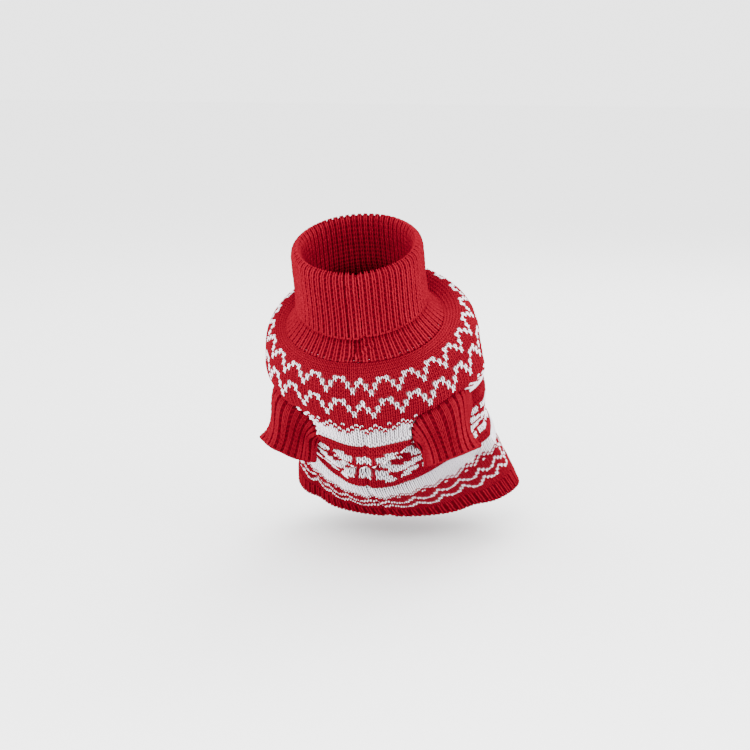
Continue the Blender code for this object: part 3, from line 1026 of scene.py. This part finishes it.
def body_grid(cloth):
    """Cloth positions of the body's ground, with its holes on their ovals, and its faces."""
    rows, columns = BODY_GROUND_GRID
    share, station = even_grid(0.0, HEM_SEAM_STATION, rows, columns)
    middle_share = share[:-1] + 0.5 / columns
    middle_station = (station[:-1] + station[1:]) / 2
    keep = outside_holes(cloth, middle_share, middle_station, 1.0)
    around = np.zeros((rows, columns))
    for i in (0, 1):
        for j in (0, 1):
            around[i:rows - 1 + i] += np.roll(keep, j, axis=1)
    rim = (around > 0) & (around < 4)
    rim[0] = rim[-1] = False
    arc = cloth.arc(share, station)[rim]
    _, angle = hole_radius(arc, station[rim])
    arc, station[rim] = hole_position(angle, 0.0, np.sign(arc))
    share[rim] = arc / cloth.girth(station[rim])
    return share, station, keep


def ground_looks(cloth, share, station, white):
    """How white the body's ground is and how much painted shade darkens it, on its outer and
    then its inner side.
    """
    from_seam = (share - seam_arc(station) / cloth.girth(station)) % 1.0
    even = station + gather(cloth.arc(share, station), station) - row_slip(from_seam)
    row = np.clip(np.searchsorted(row_edges(), even) - 1, 0, BODY_ROWS - 1)
    column = np.floor(from_seam * BODY_COLUMNS).astype(int) % BODY_COLUMNS
    here = white[row, column]
    beside = white[row, column - 1] & white[row, (column + 1) % BODY_COLUMNS]
    below = white[(row + 1) % BODY_ROWS, column]
    # Painted shade on the ground's outer side: heaviest amid and under white stitches,
    # lightest under red ones, none on its inner side
    places = [here & white[row - 1, column] & beside, here & below, here]
    shown, painted_shade_level = (
        np.select(places, looks[:-1], looks[-1]) for looks in zip(*GROUND_LOOKS))
    behind = white.any(axis=1)[row] & ~here
    return {"white": np.concatenate([shown.ravel(), FLOAT_WHITE * behind.ravel()]),
            "deep": np.concatenate([painted_shade_level.ravel(), np.zeros(here.size)])}


def make_body(cloth, yarn, ground):
    """Body panel: ground shell and its red and white stitches, in two halves."""
    white = white_stitches()
    share, station, keep = body_grid(cloth)
    looks = ground_looks(cloth, share, station, white)
    shell = make_shell("body_ground", cloth, share, station, *BODY_GROUND_LIFTS, ground,
                       looks, keep)
    share, station, height = stitch_places(cloth)
    fits = outside_holes(cloth, share, station, HOLE_CLEAR)
    above = np.roll(white, 1, axis=0)
    below = np.roll(white, -1, axis=0)
    kinds = {"red": ~white, "ring": white & below, "foot": white & ~below & above,
             "dot": white & ~below & ~above}
    left = np.broadcast_to(np.arange(BODY_COLUMNS) < BODY_COLUMNS // 2, share.shape)
    pieces = []
    for name, half in (("left", left), ("right", ~left)):
        legs = Yarn()
        for kind, chosen in kinds.items():
            chosen = chosen & fits & half
            lay_knit(legs, cloth, share[chosen], station[chosen], 1 / BODY_COLUMNS,
                     height[chosen], kind, float(kind != "red"), overlap=STITCH_OVERLAP)
        if name == "left":
            white_dashes(cloth, legs)
        pieces.append(legs.piece("body_stitches_" + name, yarn))
    return shell, pieces


def rib_ground(name, cloth, kind, first, last, material, flip=False):
    """Ground shell of a ribbed piece."""
    ribs, points, rows, rise, square, joint = RIB_GROUNDS[kind]
    share, station = even_grid(first, last, rows, ribs * points)
    wave = np.tanh(square * np.cos(2 * math.pi * ribs * share)) / math.tanh(square)
    fade = np.clip((station - first + JOINT_LEAD) / joint, 0.0, 1.0)
    wave = rise * wave * fade
    # The ribs' ground is darkened all over by painted shade, standing in for the shade of its
    # furrows
    zero = np.zeros(2 * share.size)
    return make_shell(name, cloth, share, station, wave + RIB_GROUND_HALF,
                      wave - RIB_GROUND_HALF * fade, material,
                      {"white": zero, "deep": zero + FURROW_PAINTED_SHADE}, flip=flip)


def rib_stitches(cloth, legs, kind, first, last, turn=0.0, face=1.0, way=1.0):
    """Lay the knit columns of a ribbed piece, turned by a share of a rib."""
    ribs = RIB_GROUNDS[kind][0]
    places, width, row_height = RIB_COLUMNS[kind]
    count = round((last - first) / row_height)
    height = (last - first) / count
    stations = first + (np.arange(count) + 0.5) * height
    for place in places:
        share = (np.arange(ribs) + place + turn) / ribs
        share, station = (grid.ravel() for grid in np.meshgrid(share, stations))
        lay_knit(legs, cloth, share, station, width / ribs, height, kind, face=face, way=way)


def edge_chain(cloth, legs, kind, edge, face=1.0):
    """A row of linked loops along a free edge."""
    loops, low, size = EDGE_CHAINS[kind]
    first, last, spread, close, half_width, high = LOOP
    count = loops * RIB_GROUNDS[kind][0]
    share = np.arange(count) / count
    station = np.full(count, edge - CHAIN_MARGIN)
    for offset in (-spread * size, spread * size):
        start = np.stack([share + first / count, station + offset], axis=1)
        end = np.stack([share + last / count, station + close * offset], axis=1)
        legs.lay(cloth, start, end, half_width * size, low, high, face=face)


def eyelets(cloth, legs):
    """Pale yarn that shows in the small holes at the neck joint, one in a furrow."""
    length, half_width, high = EYELET
    share = (np.arange(COLLAR_RIBS) + 0.5) / COLLAR_RIBS
    station = random.normal(*EYELET_STATION, COLLAR_RIBS)
    lean = random.normal(*EYELET_LEAN, COLLAR_RIBS) / COLLAR_RIBS
    start = np.stack([share, station - length / 2], axis=1)
    end = np.stack([share + lean, station + length / 2], axis=1)
    white = np.clip(random.normal(*EYELET_WHITE, COLLAR_RIBS), *EYELET_WHITE_LIMITS)
    legs.lay(cloth, start, end, half_width, 0.0, high, white, -1.0)


def make_collar(cloth, yarn, ground):
    """Roll collar in 1x1 rib, with knit columns on both faces."""
    length = cloth.stations[-1]
    shell = rib_ground("collar_ground", cloth, "collar", 0.0, length, ground, flip=True)
    outer, inner = Yarn(), Yarn()
    rib_stitches(cloth, outer, "collar", COLLAR_KNIT_START, COLLAR_OUTER_END, way=-1.0)
    rib_stitches(cloth, inner, "collar", COLLAR_KNIT_START, length - EDGE_MARGIN, turn=0.5,
                 face=-1.0, way=-1.0)
    edge_chain(cloth, inner, "collar", length, face=-1.0)
    eyelets(cloth, inner)
    return shell, [outer.piece("collar_stitches_outer", yarn, flip=True),
                   inner.piece("collar_stitches_inner", yarn)]


def make_rib_tube(cloth, name, kind, ground_start, first, last, yarn, ground, flip=False):
    """A tube of rib with knit columns on its outer face: a sleeve or the hem."""
    shell = rib_ground(name + "_ground", cloth, kind, ground_start, last, ground, flip)
    legs = Yarn()
    rib_stitches(cloth, legs, kind, first, last - EDGE_MARGIN)
    edge_chain(cloth, legs, kind, last)
    return shell, [legs.piece(name + "_stitches", yarn, flip)]


# ---------- stage
def make_camera():
    """The camera, in front of the chest and a little to the wearer's left."""
    azimuth, elevation, distance, lens = CAMERA
    turn, lift = math.radians(azimuth), math.radians(elevation)
    flat = math.cos(lift)
    back = Vector((math.sin(turn) * flat, -math.cos(turn) * flat, math.sin(lift)))
    right = Vector((math.cos(turn), math.sin(turn), 0.0))
    target = right * CAMERA_SHIFT[0] - back.cross(right) * CAMERA_SHIFT[1]
    camera = add_object("camera", bpy.data.cameras.new("camera"))
    camera.data.lens = lens
    camera.location = target + back * distance
    camera.rotation_euler = (-back).to_track_quat("-Z", "Y").to_euler()
    bpy.context.scene.camera = camera


def make_floor():
    """A wide pale floor."""
    mesh = bpy.data.meshes.new("floor")
    ends = (-FLOOR_REACH, FLOOR_REACH)
    mesh.from_pydata([(x, y, FLOOR_Z) for x in ends for y in ends], [], [(0, 2, 3, 1)])
    nodes = Nodes("pale_floor")
    nodes.link(nodes.shader, "Base Color", FLOOR_COLOUR)
    mesh.materials.append(nodes.material)
    floor = add_object("floor", mesh)


def make_lights():
    """A white world and soft square lights that face the target."""
    world = bpy.data.worlds.new("studio")
    world.use_nodes = True
    background = world.node_tree.nodes["Background"]
    background.inputs["Color"].default_value = (1.0, 1.0, 1.0, 1.0)
    background.inputs["Strength"].default_value = WORLD_STRENGTH
    bpy.context.scene.world = world
    for name, place, size, power in LIGHTS:
        light = bpy.data.lights.new(name, "AREA")
        light.size = size
        light.energy = power
        lamp = add_object(name, light)
        lamp.location = place
        toward = Vector(LIGHT_TARGET) - Vector(place)
        lamp.rotation_euler = toward.to_track_quat("-Z", "Y").to_euler()


# ---------- the whole
def main():
    """Make every piece."""
    make_camera()
    make_floor()
    make_lights()
    body = body_cloth()
    collar = collar_cloth(body)
    yarn = yarn_material()
    body_knit = ground_material("body_ground_knit", BODY_COLUMNS, BODY_BUMP_AND_SHADE_TONES)
    rib_knit = ground_material("rib_ground_knit", COLLAR_RIBS, RIB_BUMP_AND_SHADE_TONES)

    shell, stitches = make_body(body, yarn, body_knit)
    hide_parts("body")
    girths = body.girth(np.linspace(0, HEM_SEAM_STATION, SHEET_SAMPLES))

    shell, stitches = make_collar(collar, yarn, rib_knit)
    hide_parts("roll_collar")

    for side, name in ((1, "sleeve_left"), (-1, "sleeve_right")):
        cloth = sleeve_cloth(body, side)
        shell, stitches = make_rib_tube(cloth, name, "sleeve", 0.0, EDGE_MARGIN,
                                        cloth.stations[-1], yarn, rib_knit, side < 0)
        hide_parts(name)

    shell, stitches = make_rib_tube(body, "hem", "hem", HEM_SEAM_STATION - HEM_LAP,
                                    HEM_SEAM_STATION, HEM_EDGE_STATION, yarn, rib_knit)
    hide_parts("hem_rib")
    width = float(body.girth(HEM_EDGE_STATION)) * MM


main()
